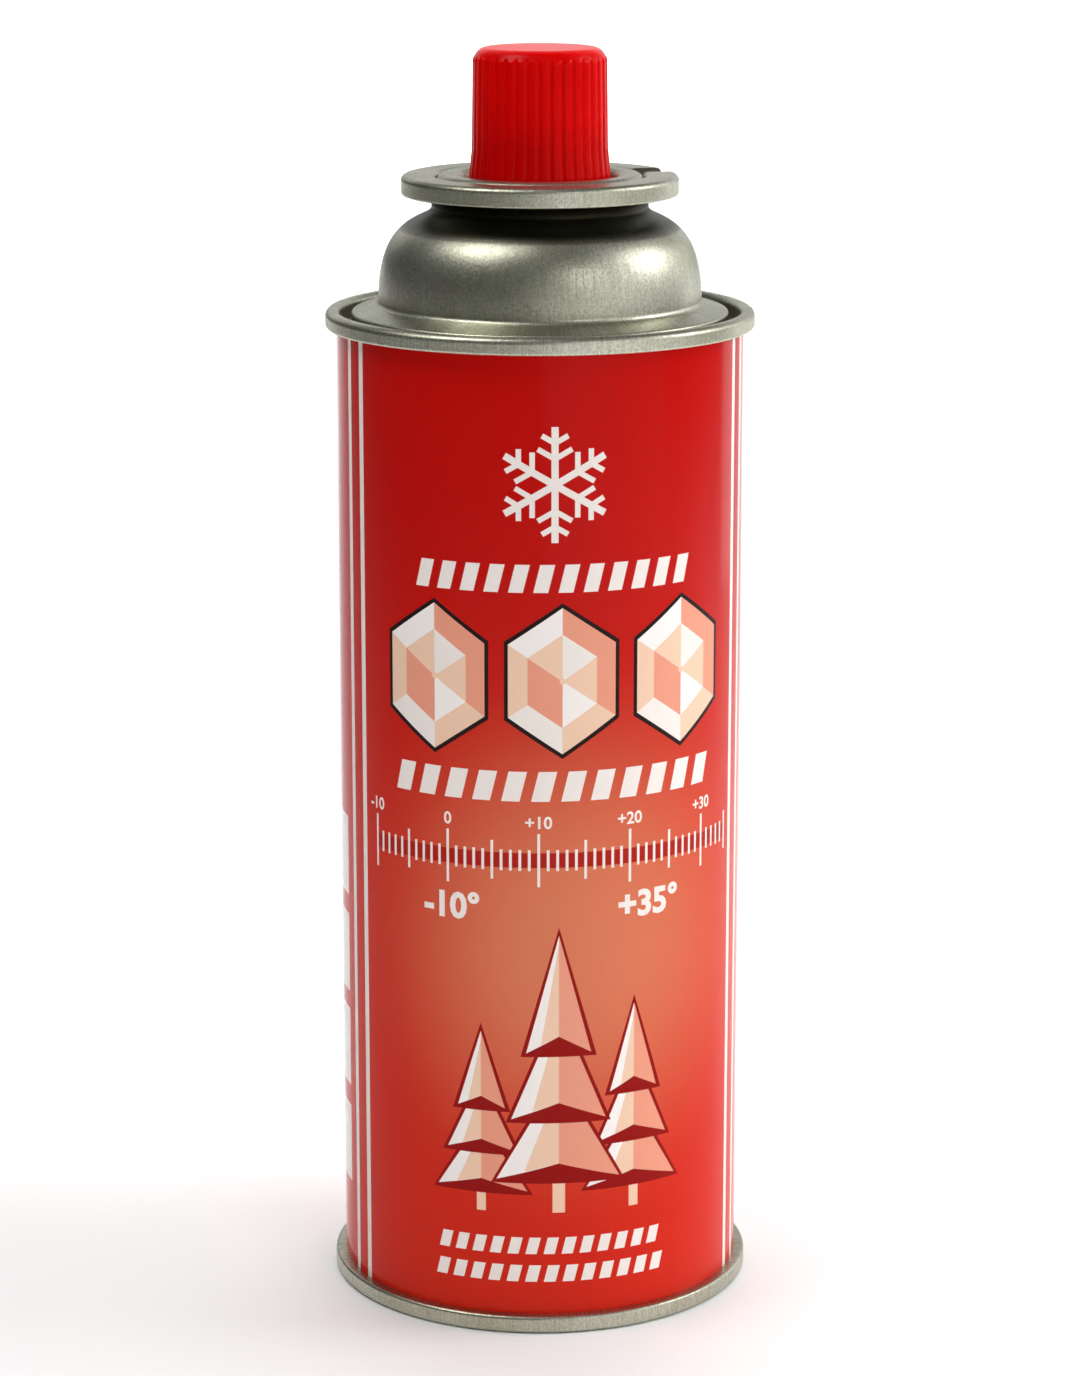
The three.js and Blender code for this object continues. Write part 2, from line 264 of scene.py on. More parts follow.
def turned(name, profile, normal, segments, body, slot, *nodes, wave=None):
    """A shape turned round the upright axis: at each angle the profile's radius and level, plus the
    wave, a height along the radius for each profile point times a swell for each angle.

    The normal tips back by the wave's slope round the axis and by its growth along the profile. A
    profile that starts and ends on the axis gets one point at each end, and any other closes on
    itself.
    """
    angle = np.linspace(0, 2 * math.pi, segments, endpoint=False)
    radius = np.repeat(profile[:, :1], segments, axis=1)
    slope = np.zeros_like(radius)
    growth = np.zeros_like(radius)
    if wave is not None:
        height, swell, swell_slope = wave
        radius = radius + height[:, None] * swell(angle)[None]
        slope = height[:, None] * swell_slope(angle)[None] / np.maximum(radius, 1e-6)
        steps = np.maximum(np.linalg.norm(np.diff(profile, axis=0), axis=1), 1e-3)
        along = np.concatenate([[0], np.cumsum(steps)])
        growth = np.gradient(height, along)[:, None] * swell(angle)[None]
    cos, sin = np.cos(angle)[None], np.sin(angle)[None]
    level = np.repeat(profile[:, 1:], segments, axis=1)
    points = np.stack([radius * cos, radius * sin, level], axis=-1)
    outward = np.repeat(normal[:, :1], segments, axis=1)
    across = -outward * slope
    upward = np.repeat(normal[:, 1:], segments, axis=1) - growth
    normals = np.stack([outward * cos - across * sin, outward * sin + across * cos, upward], axis=-1)
    on_axis = profile[:, 0] < 1e-9
    faces = grid_faces(len(profile), segments, not on_axis.any(), True)
    if on_axis.any():
        rows = len(profile)
        inner = faces.reshape(rows - 1, segments, 4)[1:-1].reshape(-1, 4) - segments + 1
        ring = np.arange(segments)
        after = (ring + 1) % segments
        first = np.stack([np.zeros_like(ring), 1 + after, 1 + ring], axis=-1)
        top = (rows - 3) * segments + 1
        peak = top + segments
        last = np.stack([np.full_like(ring, peak), top + ring, top + after], axis=-1)
        faces = inner.tolist() + first.tolist() + last.tolist()
        points = np.concatenate([points[:1, 0], points[1:-1].reshape(-1, 3), points[-1:, 0]])
        normals = np.concatenate([[[0, 0, normal[0, 1]]], normals[1:-1].reshape(-1, 3),
                                  [[0, 0, normal[-1, 1]]]])
    else:
        faces = faces.tolist()
    return make_piece(name, points.reshape(-1, 3), faces, normals.reshape(-1, 3), body, slot, *nodes)


# Shader building blocks
def node_of(tree, kind, **inputs):
    """A node with some of its inputs set or linked, by name with _ for a space."""
    node = tree.nodes.new(kind)
    for name, value in inputs.items():
        socket = node.inputs[name.replace("_", " ")]
        if isinstance(value, bpy.types.NodeSocket):
            tree.links.new(value, socket)
        else:
            socket.default_value = value
    return node


def sum_of(tree, operation, *values):
    """A math node over numbers or sockets."""
    node = tree.nodes.new("ShaderNodeMath")
    node.operation = operation
    for socket, value in zip(node.inputs, values):
        if isinstance(value, bpy.types.NodeSocket):
            tree.links.new(value, socket)
        else:
            socket.default_value = value
    return node.outputs[0]


def ranged(tree, value, low, high, new_low, new_high, kind="LINEAR"):
    """A value moved from one range to another, and kept inside it."""
    node = tree.nodes.new("ShaderNodeMapRange")
    node.interpolation_type = kind
    tree.links.new(value, node.inputs["Value"])
    names = ("From Min", "From Max", "To Min", "To Max")
    for name, number in zip(names, (low, high, new_low, new_high)):
        node.inputs[name].default_value = number
    return node.outputs["Result"]


def blended(tree, share, first, second):
    """Two colours mixed by a share."""
    node = tree.nodes.new("ShaderNodeMix")
    node.data_type = "RGBA"
    for socket, value in zip((node.inputs[0], node.inputs[6], node.inputs[7]), (share, first, second)):
        if isinstance(value, bpy.types.NodeSocket):
            tree.links.new(value, socket)
        elif np.ndim(value):
            socket.default_value = (*value[:3], 1)
        else:
            socket.default_value = value
    return node.outputs[2]


def new_group(name, inputs, outputs):
    """An empty shader node group with named number inputs and outputs."""
    group = bpy.data.node_groups.new(name, "ShaderNodeTree")
    for label, value in inputs:
        socket = group.interface.new_socket(label, in_out="INPUT", socket_type="NodeSocketFloat")
        socket.default_value = value
    for label in outputs:
        group.interface.new_socket(label, in_out="OUTPUT", socket_type="NodeSocketFloat")
    return group, group.nodes.new("NodeGroupInput").outputs, group.nodes.new("NodeGroupOutput").inputs


def rolled_grain_group():
    """Fine streaks that run down the sheet, pits between them, and broad mottling.

    Streaks: noise on (angle round the axis, a little of the level). Pits and mottling: noise on the
    plain place, fine and coarse.
    """
    group, given, result = new_group(
        "rolled_grain",
        [("Streaks", 260.0), ("Pits", 2600.0), ("Mottling", 70.0)],
        ["Streak", "Pit", "Mottle"],
    )
    place = group.nodes.new("ShaderNodeTexCoord").outputs["Object"]
    parts = node_of(group, "ShaderNodeSeparateXYZ", Vector=place).outputs
    turn = sum_of(group, "ARCTAN2", parts["X"], sum_of(group, "MULTIPLY", parts["Y"], -1.0))
    spread = node_of(
        group, "ShaderNodeCombineXYZ",
        X=sum_of(group, "MULTIPLY", turn, given["Streaks"]),
        Y=sum_of(group, "MULTIPLY", parts["Z"], 140.0),
    ).outputs[0]
    streak = node_of(group, "ShaderNodeTexNoise", Vector=spread, Scale=1.0, Detail=3.0)
    pit = node_of(group, "ShaderNodeTexNoise", Vector=place, Scale=given["Pits"], Detail=2.0)
    mottle = node_of(group, "ShaderNodeTexNoise", Vector=place, Scale=given["Mottling"], Detail=4.0)
    group.links.new(streak.outputs["Fac"], result["Streak"])
    group.links.new(pit.outputs["Fac"], result["Pit"])
    group.links.new(mottle.outputs["Fac"], result["Mottle"])
    return group


ROLLED_GRAIN = rolled_grain_group()


def place_grain(tree, **values):
    """The rolled grain's outputs, with some of its scales set."""
    node = tree.nodes.new("ShaderNodeGroup")
    node.node_tree = ROLLED_GRAIN
    for name, value in values.items():
        node.inputs[name].default_value = value
    return node.outputs


def new_material(name, **sockets):
    """A material with some values set on its shader, by name with _ for a space."""
    material = bpy.data.materials.new(name)
    material.use_nodes = True
    shader = material.node_tree.nodes["Principled BSDF"]
    for label, value in sockets.items():
        shader.inputs[label.replace("_", " ")].default_value = value
    return material, material.node_tree, shader


def bumped(tree, shader, height, strength, depth):
    """A fine relief, its depth in metres, on the shader's normal."""
    bump = node_of(tree, "ShaderNodeBump", Height=height, Strength=strength, Distance=depth)
    tree.links.new(bump.outputs["Normal"], shader.inputs["Normal"])


def bare_tinplate():
    """Tin over steel: olive-grey metal, mottled, with rolled streaks and small pits, and painted shade,
    the colour darkened towards near black, where the piece marks that shade falls on it."""
    material, tree, shader = new_material("bare_tinplate", Metallic=1.0)
    grain = place_grain(tree)
    tone = ranged(tree, grain["Mottle"], 0.35, 0.65, 0.0, 1.0)
    colour = blended(tree, tone, ink(192, 192, 172), ink(218, 218, 203))
    flecks = sum_of(tree, "MULTIPLY", grain["Pit"], grain["Streak"])
    fine = ranged(tree, flecks, 0.12, 0.42, 0.0, 0.75)
    colour = blended(tree, fine, colour, ink(134, 134, 112))
    # Painted shade: where the piece's attribute marks it, the colour darkens towards near black (46, 44,
    # 34).
    shade_attribute = node_of(tree, "ShaderNodeAttribute")
    shade_attribute.attribute_name = "painted_shade"
    colour = blended(tree, shade_attribute.outputs["Fac"], colour, ink(46, 44, 34))
    tree.links.new(colour, shader.inputs["Base Color"])
    rough = ranged(tree, grain["Streak"], 0.3, 0.7, 0.3, 0.46)
    tree.links.new(rough, shader.inputs["Roughness"])
    relief = sum_of(tree, "ADD", sum_of(tree, "MULTIPLY", grain["Streak"], 0.8), grain["Pit"])
    bumped(tree, shader, relief, 0.6, 0.00004)
    return material


def printed_lacquer():
    """Red litho print under clear lacquer: the artwork's ink where its cover is one, and elsewhere
    the red ground, darker towards the top by painted shade, with a painted highlight that fades out
    round one spot of the label."""
    material, tree, shader = new_material(
        "printed_lacquer", Metallic=0.0, Specular_IOR_Level=0.1)
    art = node_of(tree, "ShaderNodeAttribute")
    art.attribute_name = "ink"
    label = tree.nodes.new("ShaderNodeUVMap")
    label.uv_map = "label"
    parts = node_of(tree, "ShaderNodeSeparateXYZ", Vector=label.outputs[0]).outputs
    # Painted highlight: a pale patch on the red ground that fades out round one spot of the label.
    wide = sum_of(tree, "DIVIDE", sum_of(tree, "SUBTRACT", parts["X"], HIGHLIGHT_U), HIGHLIGHT_WIDE)
    high = sum_of(tree, "DIVIDE", sum_of(tree, "SUBTRACT", parts["Y"], HIGHLIGHT_V), HIGHLIGHT_HIGH)
    far = sum_of(tree, "SQRT", sum_of(tree, "ADD", sum_of(tree, "MULTIPLY", wide, wide),
                                      sum_of(tree, "MULTIPLY", high, high)))
    painted_highlight = ranged(tree, far, 0.0, 1.0, 1.0, 0.0, "SMOOTHERSTEP")
    grain = place_grain(tree, Mottling=25.0)
    cloud = ranged(tree, grain["Mottle"], 0.3, 0.7, -0.06, 0.06)
    # Painted shade: the red ground darkens towards the top of the label, clouded a little at random.
    tone = sum_of(tree, "ADD", cloud, ranged(tree, parts["Y"], 0.85, 0.35, 0.06, 0.94, "SMOOTHSTEP"))
    ground = blended(tree, tone, PRINT_RED_PAINTED_SHADE, PRINT_RED)
    ground = blended(tree, painted_highlight, ground, PRINT_PAINTED_HIGHLIGHT)
    colour = blended(tree, art.outputs["Alpha"], ground, art.outputs["Color"])
    tree.links.new(colour, shader.inputs["Base Color"])
    rough = ranged(tree, grain["Mottle"], 0.3, 0.7, 0.1, 0.16)
    tree.links.new(rough, shader.inputs["Roughness"])
    bumped(tree, shader, grain["Streak"], 0.1, 0.000004)
    return material


def moulded_plastic(name, colour, deep, rough, shine):
    """Moulded plastic: colour and gloss that cloud a little."""
    material, tree, shader = new_material(name, Metallic=0.0, Specular_IOR_Level=shine)
    grain = place_grain(tree, Mottling=90.0)
    tone = ranged(tree, grain["Mottle"], 0.3, 0.7, 0.0, 1.0)
    tree.links.new(blended(tree, tone, deep, colour), shader.inputs["Base Color"])
    gloss = ranged(tree, grain["Mottle"], 0.3, 0.7, rough, rough + 0.08)
    tree.links.new(gloss, shader.inputs["Roughness"])
    return material


def drawn_wire():
    """Bright steel wire: grey metal that clouds a little."""
    material, tree, shader = new_material("drawn_wire", Metallic=1.0)
    grain = place_grain(tree)
    colour = blended(tree, grain["Mottle"], ink(165, 165, 165), ink(205, 205, 205))
    tree.links.new(colour, shader.inputs["Base Color"])
    tree.links.new(ranged(tree, grain["Streak"], 0.3, 0.7, 0.22, 0.34), shader.inputs["Roughness"])
    return material


def seal_rubber():
    """Matt black rubber."""
    material, tree, shader = new_material("seal_rubber", Metallic=0.0)
    grain = place_grain(tree)
    colour = blended(tree, grain["Mottle"], ink(24, 24, 24), ink(44, 44, 42))
    tree.links.new(colour, shader.inputs["Base Color"])
    tree.links.new(ranged(tree, grain["Pit"], 0.3, 0.7, 0.7, 0.9), shader.inputs["Roughness"])
    return material


# The print. Places on the label are millimetres: u round the can to the right of its front, z up.
WRAP = math.pi * BODY_RADIUS
PRINT_RED = ink(212, 40, 21)
# The darker red is painted shade at the top of the label.
PRINT_RED_PAINTED_SHADE = ink(190, 6, 3)
# A painted highlight's colour, then its middle and reach as shares of the label
PRINT_PAINTED_HIGHLIGHT = ink(220, 124, 90)
HIGHLIGHT_U = 0.5 + 6 / (2 * WRAP)
HIGHLIGHT_V = 64 / SEAM_TOP
HIGHLIGHT_WIDE = 45 / (2 * WRAP)
HIGHLIGHT_HIGH = 52 / SEAM_TOP
WHITE = ink(246, 236, 230)
PEACH = ink(245, 206, 178)
SALMON = ink(238, 158, 132)
PALE = ink(252, 244, 240)
DARK_RED = ink(150, 12, 8)
BLACK = ink(32, 18, 16)
SCALE_BAND = ink(176, 28, 16)

LABEL_MIDDLE = 3.5
GEM_PLACES = (-17.2, LABEL_MIDDLE, 24.2)
GEM_LEVEL = 107
FIELD_SIDES = (-54.6, -41.2)
FIELD_LEVELS = (72.8, 56.4, 40.3, 23.6)
FIELD_HALF = 6.6
STRIPE_PLACES = (-37.8, -33.6, 39.3, 43.5)
STRIPE_WIDTH = 1.25
SCALE_ZERO = -15.0
DEGREE = 1.48
SCALE_LEVEL = 78.3


def box_shape(u0, u1, z0, z1):
    """The corners of an upright rectangle between two places across and two levels."""
    return np.array([[u0, z0], [u1, z0], [u1, z1], [u0, z1]])


def moved(shape, u, z):
    """A shape moved across and up."""
    return shape + np.array([u, z])


def spun(shape, angle):
    """A shape turned about the label's zero by an angle."""
    c, s = math.cos(angle), math.sin(angle)
    return shape @ np.array([[c, s], [-s, c]])


def polygon(count, wide, high, first=0.0):
    """Corners on an ellipse, evenly spaced from the first angle."""
    angle = first + np.arange(count) * 2 * math.pi / count
    return np.stack([wide * np.cos(angle), high * np.sin(angle)], axis=-1)


def stripes():
    """The pairs of white lines that frame the front panel."""
    half = STRIPE_WIDTH / 2
    return [(box_shape(u - half, u + half, SEAM_HEIGHT, SEAM_TOP - SEAM_HEIGHT), WHITE)
            for u in STRIPE_PLACES]


def side_blocks():
    """The plain white fields in a column beside the front panel."""
    return [(box_shape(*FIELD_SIDES, z - FIELD_HALF, z + FIELD_HALF), PALE) for z in FIELD_LEVELS]


def snowflake(middle, reach):
    """Six arms, each a bar with two pairs of side branches."""
    shapes = []
    for k in range(6):
        arm = math.pi / 2 + k * math.pi / 3
        shapes.append(spun(box_shape(0, reach, -0.55, 0.55), arm))
        for along, length in ((0.45, 0.34), (0.72, 0.26)):
            for side in (-1, 1):
                branch = spun(box_shape(0, length * reach, -0.42, 0.42), side * math.pi / 3)
                shapes.append(spun(moved(branch, along * reach, 0), arm))
    return [(moved(shape, *middle), WHITE) for shape in shapes]


def slanted_bars(middle, count, pitch, width, height, lean=0.25):
    """A row of plain leaning bars."""
    bar = np.array([[0, 0], [width, 0], [width + lean * height, height], [lean * height, height]])
    start = middle[0] - (pitch * (count - 1) + width + lean * height) / 2
    return [(moved(bar, start + pitch * i, middle[1] - height / 2), WHITE) for i in range(count)]


def cut_gem(corners):
    """A cut gem: a black edge, then a ring of tinted facets that rise from the sides, then facets
    that fall to the middle.

    A facet joins a side of the gem, shrunk about its middle to one share, to the same side shrunk
    to the next. The falling facets take the tint of the rising facet across the gem.
    """
    middle = corners.mean(axis=0)
    shapes = [(corners + unit(corners - middle) * 0.75, BLACK)]
    tints = (PALE, PEACH, WHITE, PEACH, SALMON, SALMON)
    shares = (1.0, 0.64, 0.05)
    for ring, (wide, narrow) in enumerate(zip(shares, shares[1:])):
        outer, inner = (middle + (corners - middle) * share for share in (wide, narrow))
        facets = np.stack([outer, np.roll(outer, -1, axis=0), np.roll(inner, -1, axis=0), inner], axis=1)
        for k, facet in enumerate(facets):
            shapes.append((facet, tints[(k + 3 * ring) % len(tints)]))
    shapes.append((middle + (corners - middle) * shares[-1], PEACH))
    return shapes


def cut_gems():
    """The three large gems across the label."""
    shapes = []
    for u in GEM_PLACES:
        shapes += cut_gem(moved(polygon(6, 9.8, 11.6, math.pi / 2), u, GEM_LEVEL))
    return shapes


def temperature_scale():
    """A dark band, and a tick for each degree from -10 to +35, longer each five and ten."""
    shapes = [(box_shape(SCALE_ZERO - 10 * DEGREE, SCALE_ZERO + 35 * DEGREE,
                         SCALE_LEVEL - 1.2, SCALE_LEVEL + 1.2), SCALE_BAND)]
    for degree in range(-10, 36):
        half = 4.3 if degree % 10 == 0 else 3.15 if degree % 5 == 0 else 1.7
        u = SCALE_ZERO + degree * DEGREE
        shapes.append((box_shape(u - 0.22, u + 0.22, SCALE_LEVEL - half, SCALE_LEVEL + half), WHITE))
    return shapes


def fir(middle, foot, height, width):
    """A fir tree of three tiers, each a dark outline, a light half and a tinted half."""
    shapes = []
    for low, high, share in ((0.12, 0.5, 1.0), (0.34, 0.74, 0.76), (0.58, 1.0, 0.52)):
        base, tip, half = foot + low * height, foot + high * height, share * width / 2
        edge = np.array([[-half - 0.9, base - 0.6], [half + 0.9, base - 0.6], [0, tip + 1.4]])
        left = np.array([[-half, base], [0, base + 0.06 * height], [0, tip]])
        right = np.array([[0, base + 0.06 * height], [half, base], [0, tip]])
        light = np.array([[-half * 0.55, base + 0.03 * height], [0, base + 0.06 * height],
                          [0, tip - 1.5]])
        for shape, tint in ((edge, DARK_RED), (left, PALE), (right, SALMON), (light, PEACH)):
            shapes.append((moved(shape, middle, 0), tint))
    trunk = box_shape(middle - 0.05 * width, middle + 0.05 * width, foot, foot + 0.13 * height)
    return [(trunk, PEACH)] + shapes


def numerals(words, height, middle, weight=0.03):
    """Plain numbers as flat polygons, centred on a place of the label."""
    curve = bpy.data.curves.new("numerals", "FONT")
    curve.body, curve.size, curve.offset = words, height / 0.73, weight * height
    curve.align_x, curve.align_y, curve.resolution_u = "CENTER", "CENTER", 3
    holder = bpy.data.objects.new("numerals", curve)
    mesh = bpy.data.meshes.new_from_object(holder)
    spots = np.empty(len(mesh.vertices) * 3)
    mesh.vertices.foreach_get("co", spots)
    spots = spots.reshape(-1, 3)[:, :2]
    spots = moved(spots - (spots.min(axis=0) + spots.max(axis=0)) / 2, *middle)
    shapes = [(spots[list(face.vertices)], WHITE) for face in mesh.polygons]
    bpy.data.objects.remove(holder)
    bpy.data.curves.remove(curve)
    bpy.data.meshes.remove(mesh)
    return shapes


def scale_numbers():
    """The number over each tenth degree, and the two ends of the range below in larger ones."""
    shapes = []
    for degree in (-10, 0, 10, 20, 30):
        words = f"{degree:+d}" if degree else "0"
        shapes += numerals(words, 2.0, (SCALE_ZERO + degree * DEGREE, 84.4))
    shapes += numerals("-10°", 4.2, (-14.5, 70.4), 0.05)
    shapes += numerals("+35°", 4.2, (18.2, 70.4), 0.05)
    return shapes


def artwork():
    """All the shapes of the print, each drawn over those before it."""
    shapes = stripes() + side_blocks() + snowflake((2.3, 137.8), 9.0)
    shapes += slanted_bars((2.6, 123.2), 12, 3.9, 2.3, 4.4)
    shapes += cut_gems()
    shapes += slanted_bars((3.0, 90.2), 12, 4.7, 2.9, 4.8)
    shapes += temperature_scale() + scale_numbers()
    shapes += fir(-9.5, 20, 30, 15) + fir(15.5, 20, 34, 16) + fir(3, 20, 46, 20)
    shapes += slanted_bars((1.8, 14.4), 13, 2.9, 1.8, 2.8)
    shapes += slanted_bars((1.9, 9.7), 13, 3.0, 1.9, 2.8)
    return shapes


WALL_COLUMNS = 144
SMALLEST_SHAPE = 1e-4
MERGE_DISTANCE = 1e-4


def signed_area(shape):
    """Half the sum of the corners' cross products: above zero where the corners go round leftwards."""
    after = np.roll(shape, -1, axis=0)
    return (shape[:, 0] * after[:, 1] - after[:, 0] * shape[:, 1]).sum() / 2


def printed_body():
    """The body wall: the label's plane is cut into triangles along upright lines and along every
    shape of the print, and rolled up. Angle is u over the radius, and the place on the can is
    (radius sin angle, -radius cos angle, z). Each face takes the ink of the last shape over it."""
    low, high = SEAM_HEIGHT - TUCK, SEAM_TOP - SEAM_HEIGHT + TUCK
    columns = np.linspace(-WRAP, WRAP, WALL_COLUMNS + 1)
    feet = np.stack([columns, np.full_like(columns, low)], axis=-1)
    heads = np.stack([columns, np.full_like(columns, high)], axis=-1)
    spots = [feet, heads]
    count = len(columns)
    k = np.arange(count)
    lines = np.stack([k, k + count], axis=-1).tolist()
    lines += np.stack([k[:-1], k[1:]], axis=-1).tolist()
    lines += np.stack([k[:-1] + count, k[1:] + count], axis=-1).tolist()
    drawn = [(shape, tint) for shape, tint in artwork() if abs(signed_area(shape)) > SMALLEST_SHAPE]
    shapes = [(shape if signed_area(shape) > 0 else shape[::-1], tint) for shape, tint in drawn]
    sizes = np.array([len(shape) for shape, tint in shapes])
    starts = 2 * count + np.concatenate([[0], np.cumsum(sizes)[:-1]])
    loops = [(start + np.arange(size)).tolist() for start, size in zip(starts, sizes)]
    spots = np.concatenate(spots + [shape for shape, tint in shapes])
    made = delaunay_2d_cdt([Vector(p) for p in spots.tolist()], lines, loops, 0, MERGE_DISTANCE)
    flat = np.array([p[:] for p in made[0]])
    faces = np.array([f for f in made[2]])
    last = np.array([max(over, default=-1) for over in made[5]])
    corners = flat[faces.ravel()]
    at_left = np.flatnonzero(flat[:, 0] < -WRAP + 1e-6)
    at_right = np.flatnonzero(flat[:, 0] > WRAP - 1e-6)
    apart = abs(flat[at_left, 1][:, None] - flat[at_right, 1][None])
    same = np.arange(len(flat))
    same[at_left] = at_right[apart.argmin(axis=1)]
    kept = np.setdiff1d(np.arange(len(flat)), at_left)
    faces = np.searchsorted(kept, same[faces])
    flat = flat[kept]
    angle = flat[:, 0] / BODY_RADIUS
    normals = np.stack([np.sin(angle), -np.cos(angle), np.zeros_like(angle)], axis=-1)
    points = normals * BODY_RADIUS
    points[:, 2] = flat[:, 1]
    wall = make_piece("printed_body", points, faces.tolist(), normals, "can", "printed_tinplate",
                      "sealed_can")
    tints = np.array([tint for shape, tint in shapes] + [PRINT_RED])
    inks = np.concatenate([tints[last], (last >= 0)[:, None]], axis=1)
    colours = wall.data.color_attributes.new("ink", "FLOAT_COLOR", "CORNER")
    colours.data.foreach_set("color", np.repeat(inks, 3, axis=0).ravel())
    places = wall.data.uv_layers.new(name="label")
    across = np.stack([corners[:, 0] / (2 * WRAP) + 0.5, corners[:, 1] / SEAM_TOP], axis=-1)
    places.data.foreach_set("uv", across.ravel())
    return wall


def paint_shade(piece, cover):
    """Marks how much painted shade each point of a piece carries, from nought to one."""
    shade_attribute = piece.data.attributes.new("painted_shade", "FLOAT", "POINT")
    shade_attribute.data.foreach_set("value", cover)


def crown():
    """The top end: seam, groove, ledge, the pressed dome, and the curl round the mouth. The dome's
    side is a cubic curve that leaves the crease steeply and meets the neck flat."""
    dome = cubic(
        (CROWN_RADIUS, CROWN_LEVEL),
        (CROWN_RADIUS - 0.15, CROWN_LEVEL + 0.97 * CROWN_HEIGHT),
        (NECK_RADIUS - 0.26, NECK_LEVEL - 2.6),
        (NECK_RADIUS, NECK_LEVEL),
        40,
    )
    under = SEAM_TOP - SEAM_HEIGHT
    well = RECESS_RADIUS + CUP_SHEET + GAP
    profile, normal = outline([
        (0, under),
        (BODY_RADIUS - TUCK, under, 0.05),
        (BODY_RADIUS - TUCK, under + 0.1, 0.02),
        (SEAM_RADIUS, under + 0.1, SEAM_EDGE_ROUND),
        (SEAM_RADIUS, SEAM_TOP, SEAM_OUTER_ROUND),
        (CHUCK_RADIUS, SEAM_TOP, SEAM_INNER_ROUND),
        (CHUCK_RADIUS, GROOVE_LEVEL, GROOVE_ROUND),
        (LEDGE_RADIUS, GROOVE_LEVEL, GROOVE_ROUND),
        (LEDGE_RADIUS, LEDGE_LEVEL, LEDGE_ROUND),
        (CROWN_RADIUS, CREASE_LEVEL, CREASE_ROUND),
        *dome[1:-1].tolist(),
        (NECK_RADIUS, NECK_LEVEL + 0.2),
        (NECK_RADIUS - 0.9, SEAT_LEVEL, 0.3),
        (MOUTH_RADIUS, SEAT_LEVEL, 0.2),
        (MOUTH_RADIUS, CURL_TOP, CURL_ROUND),
        (well, CURL_TOP, CURL_ROUND),
        (well - RECESS_TAPER, WELL_FLOOR, 0.3),
        (0, WELL_FLOOR),
    ])
    radius, level = profile[:, 0], profile[:, 1]
    # Painted shade: the dome's shoulder under the collar and the groove inside the top seam are darkened
    # towards near black.
    shade_under_collar = eased(level, NECK_LEVEL - 4.8, NECK_LEVEL - 2.4) * (radius < NECK_RADIUS + 5)
    groove_ring = (radius > LEDGE_RADIUS - 1) * (radius < CHUCK_RADIUS + 0.1)
    shade_in_groove = eased(SEAM_TOP - level, 0.9, 2.2) * groove_ring
    piece = turned("crown", profile, normal, CAN_SEGMENTS, "can", "bare_tinplate", "sealed_can")
    rings = np.maximum(shade_under_collar, shade_in_groove)
    paint_shade(piece, np.concatenate([rings[:1], np.repeat(rings[1:-1], CAN_SEGMENTS), rings[-1:]]))
    return piece


def bottom_end():
    """The dished bottom with its seam, which the can stands on. The dish rises towards the middle
    as one less the square of the share of the radius."""
    share = np.linspace(0, 1, 25)[:-2]
    dish = np.stack([CHUCK_RADIUS * share, DISH_DEPTH + DISH_RISE * (1 - share**2)], axis=-1)
    profile, normal = outline([
        *dish.tolist(),
        (CHUCK_RADIUS, DISH_DEPTH, DISH_CORNER),
        (CHUCK_RADIUS, 0, SEAM_ROUND),
        (SEAM_RADIUS, 0, SEAM_ROUND),
        (SEAM_RADIUS, SEAM_HEIGHT, 0.55),
        (BODY_RADIUS - TUCK, SEAM_HEIGHT, 0.05),
        (BODY_RADIUS - 2, DISH_DEPTH + DISH_RISE + 1, 0.3),
        (0, DISH_DEPTH + DISH_RISE + 1),
    ])
    return turned("bottom_end", profile, normal, CAN_SEGMENTS, "can", "bare_tinplate", "sealed_can")


def collar():
    """The ring's section swept round the axis from one side of the notch to the other.

    At each point of the section the sweep starts and ends half the notch's width from the notch's
    middle line, at the angle whose sine is the half width over the radius, so the sides are parallel.
    """
    profile, normal = bent_sheet([
        (COLLAR_RADIUS, COLLAR_TOP - RIM_HEIGHT),
        (COLLAR_RADIUS, COLLAR_TOP, 0.9),
        (BEAD_RADIUS + GAP, COLLAR_TOP, 0.8),
        (BEAD_RADIUS + GAP, SEAT_LEVEL + COLLAR_SHEET, 0.1),
        (MOUTH_RADIUS + GAP, SEAT_LEVEL + COLLAR_SHEET),
    ], COLLAR_SHEET)
    columns = COLLAR_COLUMNS
    gap_half = np.arcsin(NOTCH_WIDTH / 2 / profile[:, 0])[:, None]
    share = np.linspace(0, 1, columns)[None]
    angle = NOTCH_ANGLE + gap_half + (2 * math.pi - 2 * gap_half) * share
    cos, sin = np.cos(angle), np.sin(angle)
    level = np.broadcast_to(profile[:, 1:], angle.shape)
    points = np.stack([profile[:, :1] * cos, profile[:, :1] * sin, level], axis=-1)
    upward = np.broadcast_to(normal[:, 1:], angle.shape)
    normals = np.stack([normal[:, :1] * cos, normal[:, :1] * sin, upward], axis=-1)
    rows = len(profile)
    faces = grid_faces(rows, columns, True, False).tolist()
    side = np.array([-math.sin(NOTCH_ANGLE), math.cos(NOTCH_ANGLE), 0])
    ends = np.concatenate([points[:, 0], points[:, -1]])
    end_normals = np.repeat([-side, side], rows, axis=0)
    base = rows * columns
    face_count = rows // 2 - EDGE_STEPS
    near = np.arange(face_count - 1)
    far = rows - 1 - EDGE_STEPS - near
    caps = np.stack([near, far, far - 1, near + 1], axis=-1)
    faces += (base + caps[:, ::-1]).tolist() + (base + rows + caps).tolist()
    for first in (face_count - 1, rows - 1 - EDGE_STEPS):
        edge = (first + np.arange(EDGE_STEPS + 2)) % rows
        faces += [(base + edge).tolist(), (base + rows + edge[::-1]).tolist()]
    points = np.concatenate([points.reshape(-1, 3), ends])
    normals = np.concatenate([normals.reshape(-1, 3), end_normals])
    piece = make_piece("notched_collar", points, faces, normals, "can", "bare_tinplate", "collar")
    # Painted shade: the notch's cut ends are darkened most of the way to near black.
    paint_shade(piece, np.concatenate([np.zeros(base), np.full(2 * rows, NOTCH_SHADE)]))
    return piece


